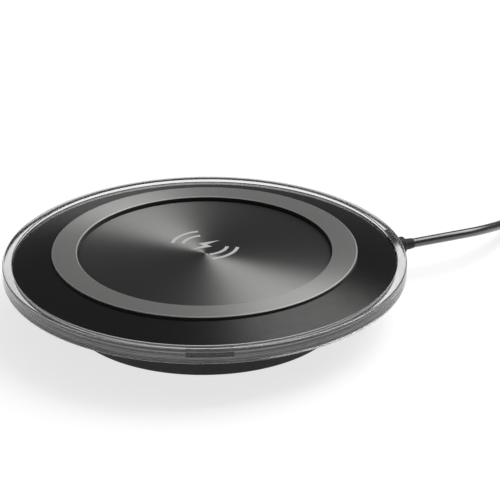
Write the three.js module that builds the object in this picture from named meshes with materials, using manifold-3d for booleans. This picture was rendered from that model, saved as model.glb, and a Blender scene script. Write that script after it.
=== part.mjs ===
// A round wireless charging pad with a clear rim, a rubber grip ring and a captive USB lead.
// Millimetres, +Z up. The pad stands on z = 0 and is centred on the Z axis; +Y is its back.
import * as THREE from 'three';
import { mergeVertices } from 'three/addons/utils/BufferGeometryUtils.js';
import Module from 'manifold-3d';

const wasm = await Module();
wasm.setup();

// ---- Driving dimensions ------------------------------------------------------------------

// Overall form
const padRadius = 50;
const baseHeight = 11.3; // from the table to the underside of the clear rim
const rimHeight = 4.0;
const rimWidth = 2.35;
const rimRound = 0.5;
const rimFootRound = 0.7;
const coverEdgeDrop = 0.6; // the black cover's edge lies this far below the top of the rim
const domeRise = 2.0; // from the cover's edge up to the grip ring
const ringProud = 0.9; // the grip ring stands this far above the dome
const plateRecess = 1.2; // the centre plate lies this far below the grip ring

// Foot and housing
const footRadius = 34.4;
const footRound = 0.4;
const shellWall = 2.0;
const floorThickness = 1.8;
const flangeThickness = 0.9;
const coverWall = 1.4;
const footRingWidth = 5;
const footRingProud = 0.3;
const footRingGroove = 0.7;

// Grip ring and centre plate
const ringOuterRadius = 37.8;
const ringWidth = 6.35;
const ringThickness = 2.0;
const ringRound = 0.45;
const plateBevel = 0.2;

// Indicator
const indicatorWidth = 10.6;
const indicatorHeight = 1.15;
const indicatorAzimuth = THREE.MathUtils.degToRad(-88);

// Charging coil stack, glued under the cover
const coilInnerRadius = 10.2;
const coilThickness = 1.2;
const shieldThickness = 0.8;
const shieldMargin = 0.7; // from the cover's screw bosses in to the shield
const shieldOverhang = 3.5; // from the shield's edge in to the coil
const adhesiveOverhang = 1.5; // from the coil out to the edge of the adhesive
const adhesiveThickness = 0.2;
const sensorRadius = 1.6;
const sensorThickness = 0.8;

// Circuit board
const boardThickness = 1.2;
const boardBelowLead = 1.1; // from the lead's jacket down to the board
const boardEdgeMargin = 0.5;
const chipSize = 7;
const chipHeight = 0.9;
const transistorSize = [6, 5, 1.0];
const capacitorSize = [5.7, 5, 2.3];
const partsPerKind = 4;
const signalBoardSize = [5, 12, 0.6];
const signalLightSize = [1.4, 3.0, 0.6];
const signalLightSpacing = 5;
const signalLightSetback = 2.4; // from the cover's skirt in to the lights

// Screws: shank radius, head radius and head height
const caseScrew = { shank: 0.95, head: 1.8, headHeight: 1.2 };
const smallScrew = { shank: 0.85, head: 1.6, headHeight: 1.0 };
const bossRadius = 3.2;
const coverBossDrop = 1.1; // the cover's screw bosses reach this far into the foot
const postRadius = 2.2;
const caseScrewCount = 4;
const boardScrewCount = 3;

// Lead
const cordAzimuth = THREE.MathUtils.degToRad(22.9);
const cordRadius = 1.2;
const sleeveRadius = 2.2;
const sleeveRound = 0.6;
const sleeveReach = 5.0; // how far the sleeve shows beyond the rim
const sleeveDrop = 0.6; // from the rim down to the top of the sleeve
const noseLength = 2.4;
const noseRadius = 1.5;
const gripFlangeRadius = 3.0;
const gripFlangeThickness = 1.2;
const gripFlangeGap = 0.5; // between the flat flange and the round wall
const clampSize = [4.2, 13, 1.2];
const jacketStrip = 1.5; // from the clamp to the end of the lead's jacket
const wireRadius = 0.45;
const wireReach = 2.9; // from the jacket's end to the solder joints
const wireSpread = 1.6; // from the lead's line to each solder joint
const coilLeadSpread = THREE.MathUtils.degToRad(5);

// Coil of the spare lead, and its tie
const coilCentre = [103.4, 62];
const coilTurnsOuter = 20.4; // radius of the outermost turn, at the middle of the cord
const coilTurnsInner = 9.0;
const coilLayers = 2;
const coilLift = 0.6;
const tieThickness = 0.5;
const tieWidth = 6;
const tieAzimuth = THREE.MathUtils.degToRad(-50);

// USB-A plug
const plugPlace = [123.8, 21.5]; // where the lead enters the plug
const plugBody = { length: 24, width: 15.6, height: 7.8, round: 1.8 };
const plugNeck = { length: 7, root: 2.8 };
const plugShell = { length: 12, width: 12, height: 4.5, wall: 0.3 };
const plugTongue = { length: 10.2, width: 11, height: 1.84 };
const plugContact = { inset: 1, length: 7.6, width: 1.1, height: 0.2, spacing: 2.4 };
const plugContactCount = 4;
const plugWindow = { start: 4.5, length: 2.3, width: 2.2, spacing: 5.8 };

// Clearances
const fitGap = 0.15; // between fixed pieces that seat in each other
const layerGap = 0.1; // between stacked layers
const partGap = 0.3; // round screws, wires and cut pieces
const overrun = 1; // a cutting shape runs this far past the faces it opens

// Smoothness
const roundSteps = 64;
const innerSteps = 40;
const smallSteps = 16;
const cordSides = 8;
const wireSides = 6;

// ---- Heights and radii that follow from them -----------------------------------------------

const rimTop = baseHeight + rimHeight;
const rimInnerRadius = padRadius - rimWidth;
const coverRadius = rimInnerRadius - fitGap;
const coverEdge = rimTop - coverEdgeDrop;
const domeTop = coverEdge + domeRise;
const ringInnerRadius = ringOuterRadius - ringWidth;
const ringTop = domeTop + ringProud;
const ringBottom = ringTop - ringThickness;
const seatLevel = ringBottom - layerGap;
const seatRadius = ringOuterRadius + fitGap;
const plateTop = ringTop - plateRecess;
const plateRadius = ringInnerRadius - fitGap;
const coverUnderside = seatLevel - coverWall;
const flangeTop = baseHeight + flangeThickness;
const skirtBottom = flangeTop + fitGap;
const skirtInnerRadius = coverRadius - coverWall;
const indicatorThickness = coverWall;

const innerWall = footRadius - shellWall;
const floorTop = footRingProud + floorThickness;
const grooveLevel = footRingProud + footRingGroove;
const screwCircle = innerWall - bossRadius - partGap;
const caseHeadSeat = grooveLevel + caseScrew.headHeight + 2 * partGap;
const coverBossBottom = baseHeight - coverBossDrop;
const baseBossTop = coverBossBottom - partGap;
const caseScrewTop = coverUnderside - partGap - layerGap;

const adhesiveTop = coverUnderside - layerGap;
const coilTop = adhesiveTop - adhesiveThickness - layerGap;
const shieldTop = coilTop - coilThickness - layerGap;
const shieldRadius = screwCircle - bossRadius - shieldMargin;
const coilOuterRadius = shieldRadius - shieldOverhang;
const adhesiveRadius = coilOuterRadius + adhesiveOverhang;

const sleeveEnd = padRadius + sleeveReach;
const cordExit = sleeveEnd + noseLength;
const cordHeight = baseHeight - sleeveDrop - sleeveRadius;

const boardRadius = screwCircle - bossRadius - boardEdgeMargin;
const boardTop = cordHeight - cordRadius - boardBelowLead;
const boardBottom = boardTop - boardThickness;
const boardScrewCircle = boardRadius - postRadius - 2 * partGap;
const componentCircle = (boardScrewCircle - postRadius + chipSize / Math.SQRT2) / 2;

const neckRadius = sleeveRadius - partGap; // where the strain relief passes through the wall
const clampInner = boardRadius + boardEdgeMargin;
const clampBottom = cordHeight + cordRadius + partGap;
const clampPostOffset = clampSize[1] / 2 - postRadius;
const jacketEnd = clampInner - jacketStrip;
const gripFlangeInner = innerWall - gripFlangeGap - gripFlangeThickness;

// The lead's route from the pad to its coil, and from the coil to the plug
const exitDirection = new THREE.Vector3(Math.cos(cordAzimuth), Math.sin(cordAzimuth), 0);
const exitPoint = exitDirection.clone().multiplyScalar(cordExit).setZ(cordHeight);
const leadRoute = [
  exitPoint,
  exitPoint.clone().addScaledVector(exitDirection, 6),
  new THREE.Vector3(64.4, 27.4, 8.4),
  new THREE.Vector3(70.4, 31.7, 7.6),
  new THREE.Vector3(75.6, 37.6, 6.2),
  new THREE.Vector3(79.6, 44.8, 4.1),
  new THREE.Vector3(82.0, 51.5, 1.9),
];
const tailRoute = [
  new THREE.Vector3(123.8, 50.8, 3.5),
  new THREE.Vector3(123.9, 45.5, 2.8),
  new THREE.Vector3(123.9, 40.0, 2.6),
  new THREE.Vector3(123.8, 34.0, 3.2),
  new THREE.Vector3(plugPlace[0], plugPlace[1] + plugNeck.length + partGap, plugBody.height / 2),
];

// ---- Shape helpers -------------------------------------------------------------------------

// Points of an arc in an (r, z) profile, from one angle to another in degrees.
function arc(r, z, radius, from, to, steps = 3) {
  const points = [];
  for (let i = 0; i <= steps; i += 1) {
    const angle = THREE.MathUtils.degToRad(from + ((to - from) * i) / steps);
    points.push([r + radius * Math.cos(angle), z + radius * Math.sin(angle)]);
  }
  return points;
}

// A solid turned round the Z axis. The profile runs upwards on its outer side.
function turned(profile, steps = roundSteps) {
  const points = profile.map(([r, z]) => new THREE.Vector2(r, z));
  return new THREE.LatheGeometry(points, steps).rotateX(Math.PI / 2);
}

function turnedRing(profile, steps = roundSteps) {
  return turned([...profile, profile[0]], steps);
}

function disc(radius, bottom, top, steps = smallSteps) {
  return turned([[0, bottom], [radius, bottom], [radius, top], [0, top]], steps);
}

// A thin round layer hanging from its top face.
function layer(radius, top, thickness, steps = innerSteps) {
  return disc(radius, top - thickness, top, steps);
}

function washer(inner, outer, top, thickness) {
  const bottom = top - thickness;
  return turnedRing([[inner, bottom], [outer, bottom], [outer, top], [inner, top]], innerSteps);
}

// A box given by its two corners.
function block(low, high) {
  const size = high.map((value, i) => value - low[i]);
  const geometry = new THREE.BoxGeometry(...size);
  return geometry.translate(...low.map((value, i) => value + size[i] / 2));
}

// A tube of round section along a smooth curve through the points.
function tube(points, radius, steps, sides = cordSides) {
  const section = new THREE.Shape();
  for (let i = 0; i < sides; i += 1) {
    const angle = ((i + 0.5) * 2 * Math.PI) / sides;
    const place = [radius * Math.cos(angle), radius * Math.sin(angle)];
    if (i === 0) section.moveTo(...place);
    else section.lineTo(...place);
  }
  section.closePath();
  const curve = new THREE.CatmullRomCurve3(points, false, 'centripetal');
  return new THREE.ExtrudeGeometry(section, { steps, extrudePath: curve, bevelEnabled: false });
}

// A slab with a rounded outline, its length along X and its middle on the X axis.
function roundedSlab(length, width, height, round) {
  const outline = new THREE.Shape();
  const x = length - round;
  const y = width / 2 - round;
  outline.absarc(x, y, round, 0, Math.PI / 2);
  outline.absarc(round, y, round, Math.PI / 2, Math.PI);
  outline.absarc(round, -y, round, Math.PI, 1.5 * Math.PI);
  outline.absarc(x, -y, round, 1.5 * Math.PI, 2 * Math.PI);
  const bevel = round / 2;
  return new THREE.ExtrudeGeometry(outline, {
    depth: height - 2 * bevel,
    curveSegments: 4,
    bevelEnabled: true,
    bevelThickness: bevel,
    bevelSize: bevel,
    bevelOffset: -bevel,
    bevelSegments: 2,
  }).translate(0, 0, bevel - height / 2);
}

// A geometry as a solid that can be joined and cut.
function solid(geometry) {
  const bare = geometry.clone();
  bare.deleteAttribute('normal');
  bare.deleteAttribute('uv');
  const merged = mergeVertices(bare, 1e-3);
  const corners = merged.index.array;
  const kept = [];
  for (let i = 0; i < corners.length; i += 3) {
    const [a, b, c] = [corners[i], corners[i + 1], corners[i + 2]];
    if (a !== b && b !== c && c !== a) kept.push(a, b, c);
  }
  return new wasm.Manifold(
    new wasm.Mesh({
      numProp: 3,
      vertProperties: new Float32Array(merged.attributes.position.array),
      triVerts: new Uint32Array(kept),
    }),
  );
}

function geometryOf(manifold) {
  const mesh = manifold.getMesh();
  const geometry = new THREE.BufferGeometry();
  geometry.setAttribute('position', new THREE.BufferAttribute(mesh.vertProperties, 3));
  geometry.setIndex(new THREE.BufferAttribute(mesh.triVerts, 1));
  geometry.computeVertexNormals();
  return geometry;
}

function joined(...geometries) {
  return geometryOf(geometries.map(solid).reduce((whole, part) => whole.add(part)));
}

function cut(geometry, ...tools) {
  return geometryOf(tools.map(solid).reduce((whole, tool) => whole.subtract(tool), solid(geometry)));
}

// Angles of evenly spaced copies, the first half a step past the lead's exit.
function anglesAround(count, offset = 0.5) {
  return Array.from({ length: count }, (_, i) => cordAzimuth + ((i + offset) * 2 * Math.PI) / count);
}

function aroundPad(geometry, radius, angle) {
  return geometry.translate(radius, 0, 0).rotateZ(angle);
}

// ---- Materials -----------------------------------------------------------------------------

function material(color, roughness, metalness = 0, extra = {}) {
  return new THREE.MeshStandardMaterial({ color, roughness, metalness, ...extra });
}

const finishes = {
  clearPlastic: () => material(0xe8ecec, 0.05, 0, { transparent: true, opacity: 0.35 }),
  glossBlack: () => material(0x0c0c0c, 0.12),
  matteBlack: () => material(0x171717, 0.6),
  gripRubber: () => material(0x7f7f7d, 0.7),
  spunPlate: () => material(0x3c3c3b, 0.35, 0.6),
  smokedWindow: () => material(0x101012, 0.2),
  footRubber: () => material(0x1b1b1b, 0.85),
  steel: () => material(0xb9bcc0, 0.3, 1),
  copper: () => material(0xb4693a, 0.35, 1),
  ferrite: () => material(0x2b2b2d, 0.7),
  adhesive: () => material(0xe6e2d6, 0.8),
  boardGreen: () => material(0x14502c, 0.45),
  chipBlack: () => material(0x18181a, 0.5),
  ceramicTan: () => material(0xa98c62, 0.5),
  lightWhite: () => material(0xf2f2ea, 0.3),
  cordBlack: () => material(0x191919, 0.45),
  wireRed: () => material(0xb3221d, 0.5),
  wireBlack: () => material(0x141414, 0.5),
  tieBlack: () => material(0x202020, 0.9),
  plugSteel: () => material(0xc9ccd0, 0.25, 1),
  tongueWhite: () => material(0xe9e9e4, 0.5),
  contactGold: () => material(0xd9a94a, 0.3, 1),
};

function piece(name, geometry, finish) {
  const mesh = new THREE.Mesh(geometry, finishes[finish]());
  mesh.name = name;
  return mesh;
}

// ---- Outer pieces --------------------------------------------------------------------------

function clearRim() {
  const inner = rimInnerRadius;
  return turnedRing([
    [inner, baseHeight],
    ...arc(padRadius - rimFootRound, baseHeight + rimFootRound, rimFootRound, -90, 0),
    ...arc(padRadius - rimRound, rimTop - rimRound, rimRound, 0, 90),
    [inner + rimRound / 2, rimTop],
    [inner, rimTop - rimRound / 2],
  ]);
}

// The dome is an arc through its edge, its top and a slight crown between them.
function domeProfile() {
  const crown = domeRise / 8;
  const steps = 4;
  const points = [];
  for (let i = 0; i <= steps; i += 1) {
    const t = i / steps;
    const r = coverRadius + (seatRadius - coverRadius) * t;
    points.push([r, coverEdge + domeRise * t + 4 * crown * t * (1 - t)]);
  }
  return points;
}

function indicatorSector(gap) {
  const outer = coverRadius + gap;
  const inner = coverRadius - indicatorThickness - gap;
  const half = (indicatorWidth / 2 + gap) / coverRadius;
  const outline = new THREE.Shape();
  outline.absarc(0, 0, outer, -half, half, false);
  outline.absarc(0, 0, inner, half, -half, true);
  const bottom = skirtBottom + fitGap - 2 * gap;
  const depth = indicatorHeight + 3 * gap;
  const geometry = new THREE.ExtrudeGeometry(outline, { depth, curveSegments: 6, bevelEnabled: false });
  return geometry.rotateZ(indicatorAzimuth).translate(0, 0, bottom);
}

function topCover() {
  const skin = turned([
    [0, coverUnderside],
    [seatRadius - coverWall / 2, coverUnderside],
    [seatRadius + coverWall, domeTop - coverWall],
    [skirtInnerRadius, coverEdge - coverWall / 2],
    [skirtInnerRadius, skirtBottom],
    [coverRadius, skirtBottom],
    ...domeProfile(),
    [seatRadius, seatLevel],
    [0, seatLevel],
  ]);
  const bossTop = coverUnderside + coverWall / 2;
  const bosses = anglesAround(caseScrewCount).map((angle) =>
    aroundPad(disc(bossRadius, coverBossBottom, bossTop), screwCircle, angle));
  const hole = disc(caseScrew.shank + partGap, coverBossBottom - overrun, caseScrewTop + partGap);
  const holes = anglesAround(caseScrewCount).map((angle) =>
    aroundPad(hole.clone(), screwCircle, angle));
  return cut(joined(skin, ...bosses), ...holes, indicatorSector(fitGap));
}

function centrePlate() {
  return turned([
    [0, ringBottom],
    [plateRadius, ringBottom],
    [plateRadius, plateTop - plateBevel],
    [plateRadius - plateBevel, plateTop],
    [0, plateTop],
  ]);
}

function gripRing() {
  return turnedRing([
    [ringInnerRadius, ringBottom],
    [ringOuterRadius, ringBottom],
    ...arc(ringOuterRadius - ringRound, ringTop - ringRound, ringRound, 0, 90),
    ...arc(ringInnerRadius + ringRound, ringTop - ringRound, ringRound, 90, 180),
  ]);
}

function footRing() {
  const inner = screwCircle - footRingWidth / 2;
  const outer = screwCircle + footRingWidth / 2;
  const bevel = footRingProud / 2;
  const top = grooveLevel - layerGap;
  return turnedRing([
    [inner + bevel, 0],
    [outer - bevel, 0],
    [outer, bevel],
    [outer, top],
    [inner, top],
    [inner, bevel],
  ]);
}

// ---- Housing -------------------------------------------------------------------------------

function post(radius, top) {
  return disc(radius, floorTop - floorThickness / 4, top);
}

function baseShell() {
  const grooveInner = screwCircle - footRingWidth / 2 - fitGap;
  const grooveOuter = screwCircle + footRingWidth / 2 + fitGap;
  const shell = turned([
    [0, footRingProud],
    [grooveInner, footRingProud],
    [grooveInner, grooveLevel],
    [grooveOuter, grooveLevel],
    [grooveOuter, footRingProud],
    ...arc(footRadius - footRound, footRingProud + footRound, footRound, -90, 0),
    [footRadius, baseHeight],
    [coverRadius, baseHeight],
    [coverRadius, flangeTop],
    [innerWall, flangeTop],
    [innerWall, floorTop],
    [0, floorTop],
  ]);
  const bosses = anglesAround(caseScrewCount).map((angle) =>
    aroundPad(post(bossRadius, baseBossTop), screwCircle, angle));
  const standoffs = anglesAround(boardScrewCount).map((angle) =>
    aroundPad(post(postRadius, boardBottom - layerGap), boardScrewCircle, angle));
  const clampMiddle = clampInner + clampSize[0] / 2;
  const saddle = block(
    [clampInner, -cordRadius - partGap, floorTop - floorThickness / 4],
    [clampInner + clampSize[0], cordRadius + partGap, cordHeight - cordRadius - partGap],
  ).rotateZ(cordAzimuth);
  const clampPosts = [-1, 1].map((side) =>
    post(postRadius, clampBottom - layerGap)
      .translate(clampMiddle, side * clampPostOffset, 0)
      .rotateZ(cordAzimuth));

  const caseHoles = anglesAround(caseScrewCount).flatMap((angle) => [
    aroundPad(disc(caseScrew.shank + partGap, 0, baseBossTop + overrun), screwCircle, angle),
    aroundPad(disc(caseScrew.head + partGap, 0, caseHeadSeat), screwCircle, angle),
  ]);
  const boardHoles = anglesAround(boardScrewCount).map((angle) =>
    aroundPad(disc(smallScrew.shank + partGap, floorTop + partGap, boardTop), boardScrewCircle, angle));
  const clampHoles = [-1, 1].map((side) =>
    disc(smallScrew.shank + partGap, cordHeight - 2 * cordRadius, clampBottom + overrun)
      .translate(clampMiddle, side * clampPostOffset, 0)
      .rotateZ(cordAzimuth));
  const cordHole = disc(neckRadius + partGap, innerWall - overrun, footRadius + overrun)
    .rotateY(Math.PI / 2)
    .translate(0, 0, cordHeight)
    .rotateZ(cordAzimuth);
  return cut(
    joined(shell, ...bosses, ...standoffs, saddle, ...clampPosts),
    ...caseHoles, ...boardHoles, ...clampHoles, cordHole,
  );
}

// A pan-head screw with its head's underside at z = 0 and its shank pointing down.
function screw(size, length) {
  const crown = size.headHeight / 2;
  return turned([
    [0, -length],
    [size.shank / 2, -length],
    [size.shank, -length + size.shank],
    [size.shank, 0],
    [size.head, 0],
    [size.head, size.headHeight - crown],
    [size.head - crown, size.headHeight],
    [0, size.headHeight],
  ], smallSteps);
}

function caseScrews() {
  const length = caseScrewTop - partGap - caseHeadSeat;
  return anglesAround(caseScrewCount).map((angle, i) => {
    const mesh = piece(`case_screw_${i + 1}`, screw(caseScrew, length), 'steel');
    mesh.rotation.x = Math.PI;
    mesh.position.set(screwCircle * Math.cos(angle), screwCircle * Math.sin(angle), caseHeadSeat - layerGap);
    return mesh;
  });
}

// ---- Coil stack and indicator ----------------------------------------------------------------

function coilStack() {
  const group = new THREE.Group();
  group.add(
    piece('coil_adhesive', layer(adhesiveRadius, adhesiveTop, adhesiveThickness), 'adhesive'),
    piece('transmit_coil', washer(coilInnerRadius, coilOuterRadius, coilTop, coilThickness), 'copper'),
    piece('ferrite_shield', layer(shieldRadius, shieldTop, shieldThickness), 'ferrite'),
    piece('temperature_sensor', layer(sensorRadius, coilTop, sensorThickness, smallSteps), 'chipBlack'),
  );
  return group;
}

function indicator() {
  const group = new THREE.Group();
  group.rotation.z = indicatorAzimuth;
  const boardBase = flangeTop + fitGap;
  const [depth, width, thickness] = signalBoardSize;
  const lightOuter = skirtInnerRadius - signalLightSetback;
  const boardOuter = lightOuter - signalLightSize[0] / 2;
  const board = block(
    [boardOuter - depth, -width / 2, boardBase],
    [boardOuter, width / 2, boardBase + thickness],
  );
  group.add(piece('signal_board', board, 'boardGreen'));
  const lightBase = boardBase + thickness + layerGap;
  [-1, 1].forEach((side, i) => {
    const middle = (side * signalLightSpacing) / 2;
    const light = block(
      [lightOuter - signalLightSize[0], middle - signalLightSize[1] / 2, lightBase],
      [lightOuter, middle + signalLightSize[1] / 2, lightBase + signalLightSize[2]],
    );
    group.add(piece(`signal_light_${i + 1}`, light, 'lightWhite'));
  });
  return group;
}

// ---- Circuit board ---------------------------------------------------------------------------

function circuitBoard() {
  const hole = disc(smallScrew.shank + partGap, boardBottom - overrun, boardTop + overrun);
  const holes = anglesAround(boardScrewCount).map((angle) =>
    aroundPad(hole.clone(), boardScrewCircle, angle));
  return cut(layer(boardRadius, boardTop, boardThickness), ...holes);
}

function boardParts() {
  const group = new THREE.Group();
  const base = boardTop + layerGap;
  const half = chipSize / 2;
  const chip = block([-half, -half, base], [half, half, base + chipHeight]);
  group.add(piece('controller_chip', chip, 'chipBlack'));
  const kinds = [
    { name: 'power_transistor', size: transistorSize, finish: 'chipBlack' },
    { name: 'resonant_capacitor', size: capacitorSize, finish: 'ceramicTan' },
  ];
  const slots = anglesAround(kinds.length * partsPerKind, 0);
  slots.forEach((angle, i) => {
    const kind = kinds[i % kinds.length];
    const [length, width, height] = kind.size;
    const geometry = block([-length / 2, -width / 2, 0], [length / 2, width / 2, height]);
    const mesh = piece(`${kind.name}_${Math.floor(i / kinds.length) + 1}`, geometry, kind.finish);
    mesh.position.set(componentCircle * Math.cos(angle), componentCircle * Math.sin(angle), base);
    mesh.rotation.z = angle;
    group.add(mesh);
  });
  anglesAround(boardScrewCount).forEach((angle, i) => {
    const length = boardTop - floorTop - 2 * partGap;
    const mesh = piece(`board_screw_${i + 1}`, screw(smallScrew, length), 'steel');
    mesh.position.set(boardScrewCircle * Math.cos(angle), boardScrewCircle * Math.sin(angle), base);
    group.add(mesh);
  });
  return group;
}

// Two leads from the coil's rim, down past the shield, to the edge of the board.
function coilLeads() {
  const group = new THREE.Group();
  const height = coilTop - coilThickness / 2;
  const outside = shieldRadius + wireRadius + 2 * partGap;
  const landing = boardRadius - 2 * wireRadius;
  const bend = 2 * wireRadius;
  [-1, 1].forEach((side, i) => {
    const points = [
      new THREE.Vector3(coilOuterRadius + partGap, 0, height),
      new THREE.Vector3(outside - bend, 0, height),
      new THREE.Vector3(outside, 0, height - bend),
      new THREE.Vector3(outside, 0, (height + boardTop) / 2),
      new THREE.Vector3(landing, 0, boardTop + 2 * bend),
      new THREE.Vector3(landing, 0, boardTop + partGap),
    ];
    const lead = piece(`coil_lead_${i + 1}`, tube(points, wireRadius, 12, wireSides), 'copper');
    lead.rotation.z = cordAzimuth + Math.PI + side * coilLeadSpread;
    group.add(lead);
  });
  return group;
}

// ---- Lead entry ------------------------------------------------------------------------------

// Moulded strain relief: a flange inside the wall, a neck through it, a sleeve that runs out
// under the rim, and a short tapered nose.
function strainRelief() {
  const flangeOuter = gripFlangeInner + gripFlangeThickness;
  const sleeveStart = footRadius + partGap;
  return turned([
    [0, gripFlangeInner],
    [gripFlangeRadius, gripFlangeInner],
    [gripFlangeRadius, flangeOuter],
    [neckRadius, flangeOuter],
    [neckRadius, sleeveStart],
    [sleeveRadius, sleeveStart],
    ...arc(sleeveRadius - sleeveRound, sleeveEnd - sleeveRound, sleeveRound, 0, 90),
    [noseRadius, sleeveEnd],
    [cordRadius + fitGap, cordExit - partGap],
    [0, cordExit - partGap],
  ], smallSteps);
}

function leadEntry() {
  const group = new THREE.Group();
  group.position.z = cordHeight;
  group.rotation.z = cordAzimuth;

  const relief = piece('strain_relief', strainRelief(), 'cordBlack');
  relief.rotation.y = Math.PI / 2;
  group.add(relief);

  const tail = piece('lead_inner_end', disc(cordRadius, jacketEnd, gripFlangeInner - partGap), 'cordBlack');
  tail.rotation.y = Math.PI / 2;
  group.add(tail);

  const barBase = clampBottom - cordHeight;
  const middle = clampInner + clampSize[0] / 2;
  const bar = block(
    [clampInner, -clampSize[1] / 2, barBase],
    [clampInner + clampSize[0], clampSize[1] / 2, barBase + clampSize[2]],
  );
  const barHoles = [-1, 1].map((side) =>
    disc(smallScrew.shank + partGap, barBase - overrun, barBase + clampSize[2] + overrun)
      .translate(middle, side * clampPostOffset, 0));
  group.add(piece('cord_clamp', cut(bar, ...barHoles), 'matteBlack'));
  const screwLength = clampSize[2] + 2 * cordRadius;
  [-1, 1].forEach((side, i) => {
    const clampScrew = piece(`clamp_screw_${i + 1}`, screw(smallScrew, screwLength), 'steel');
    clampScrew.position.set(middle, side * clampPostOffset, barBase + clampSize[2] + layerGap);
    group.add(clampScrew);
  });

  group.add(
    piece('wire_negative', boardWire(-1), 'wireBlack'),
    piece('wire_positive', boardWire(1), 'wireRed'),
  );
  return group;
}

// A wire that leaves the jacket level, spreads to its side and bends down to the board.
function boardWire(side) {
  const drop = cordHeight - boardTop - partGap;
  const start = wireRadius + fitGap;
  const steps = 4;
  const points = [];
  for (let i = 0; i <= steps; i += 1) {
    const turn = ((i / steps) * Math.PI) / 2;
    points.push(new THREE.Vector3(
      jacketEnd - partGap - (wireReach - partGap) * Math.sin(turn),
      side * (start + ((wireSpread - start) * i) / steps),
      -drop * (1 - Math.cos(turn)),
    ));
  }
  return tube(points, wireRadius, 8, wireSides);
}

// ---- Free lead, coil, tie and plug -------------------------------------------------------------

// The coil's outer shape, as a ring that stands on the tie's lower band.
function coilRing() {
  const inner = coilTurnsInner - cordRadius;
  const outer = coilTurnsOuter + cordRadius;
  const top = coilLift + 2 * cordRadius * coilLayers;
  const bevel = cordRadius / 2;
  return turnedRing([
    [inner, coilLift],
    [outer - bevel, coilLift],
    [outer, coilLift + bevel],
    [outer, top - bevel],
    [outer - bevel, top],
    [inner, top],
  ], innerSteps);
}

// A flat band round the bundle of turns, along X from the coil's middle.
function cordTie() {
  const inner = Math.sqrt((coilTurnsInner - cordRadius) ** 2 - (tieWidth / 2) ** 2) - partGap;
  const outer = coilTurnsOuter + cordRadius + partGap;
  const bottom = coilLift - layerGap;
  const top = coilLift + 2 * cordRadius * coilLayers + partGap;
  const half = tieWidth / 2;
  const band = block(
    [inner - tieThickness, -half, bottom - tieThickness],
    [outer + tieThickness, half, top + tieThickness],
  );
  return cut(band, block([inner, -half - overrun, bottom], [outer, half + overrun, top]));
}

function spareLead() {
  const group = new THREE.Group();
  group.position.set(coilCentre[0], coilCentre[1], 0);
  group.add(piece('lead_coil', coilRing(), 'cordBlack'));
  const tie = piece('lead_tie', cordTie(), 'tieBlack');
  tie.rotation.z = tieAzimuth;
  group.add(tie);
  return group;
}

function plug() {
  const group = new THREE.Group();
  group.position.set(plugPlace[0], plugPlace[1], plugBody.height / 2);
  group.rotation.z = -Math.PI / 2;

  const neck = turned([
    [0, -plugNeck.length],
    [cordRadius + partGap, -plugNeck.length],
    [plugNeck.root, plugBody.round],
    [0, plugBody.round],
  ], smallSteps).rotateY(Math.PI / 2);
  const slab = roundedSlab(plugBody.length, plugBody.width, plugBody.height, plugBody.round);
  group.add(piece('plug_body', joined(slab, neck), 'cordBlack'));

  const start = plugBody.length + partGap;
  const { length, width, height, wall } = plugShell;
  const outside = block([start, -width / 2, -height / 2], [start + length, width / 2, height / 2]);
  const inside = block(
    [start - overrun, -width / 2 + wall, -height / 2 + wall],
    [start + length + overrun, width / 2 - wall, height / 2 - wall],
  );
  const windows = [-1, 1].map((side) => {
    const middle = (side * plugWindow.spacing) / 2;
    const near = start + plugWindow.start;
    return block(
      [near, middle - plugWindow.width / 2, -height],
      [near + plugWindow.length, middle + plugWindow.width / 2, height],
    );
  });
  group.add(piece('plug_shell', cut(outside, inside, ...windows), 'plugSteel'));

  const tongueTop = height / 2 - wall - layerGap;
  const tongueBottom = tongueTop - plugTongue.height;
  group.add(piece('plug_tongue', block(
    [start, -plugTongue.width / 2, tongueBottom],
    [start + plugTongue.length, plugTongue.width / 2, tongueTop],
  ), 'tongueWhite'));
  const contactStart = start + plugContact.inset;
  const contactTop = tongueBottom - layerGap;
  for (let i = 0; i < plugContactCount; i += 1) {
    const middle = (i - (plugContactCount - 1) / 2) * plugContact.spacing;
    group.add(piece(`plug_contact_${i + 1}`, block(
      [contactStart, middle - plugContact.width / 2, contactTop - plugContact.height],
      [contactStart + plugContact.length, middle + plugContact.width / 2, contactTop],
    ), 'contactGold'));
  }
  return group;
}

// ---- Assembly ----------------------------------------------------------------------------------

const pad = new THREE.Group();
pad.add(
  piece('clear_rim', clearRim(), 'clearPlastic'),
  piece('top_cover', topCover(), 'glossBlack'),
  piece('centre_plate', centrePlate(), 'spunPlate'),
  piece('grip_ring', gripRing(), 'gripRubber'),
  piece('indicator_window', indicatorSector(0), 'smokedWindow'),
  piece('base_shell', baseShell(), 'matteBlack'),
  piece('foot_ring', footRing(), 'footRubber'),
  ...caseScrews(),
  coilStack(),
  indicator(),
  piece('circuit_board', circuitBoard(), 'boardGreen'),
  boardParts(),
  coilLeads(),
  leadEntry(),
  piece('lead_run', tube(leadRoute, cordRadius, 12), 'cordBlack'),
  piece('lead_tail', tube(tailRoute, cordRadius, 8), 'cordBlack'),
  spareLead(),
  plug(),
);

export default pad;
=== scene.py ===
# The looks of a round wireless charging pad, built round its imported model. Metres, +Z up.
from math import cos, pi, radians, sin, sqrt

import bmesh
import bpy
from mathutils import Matrix, Vector


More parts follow.
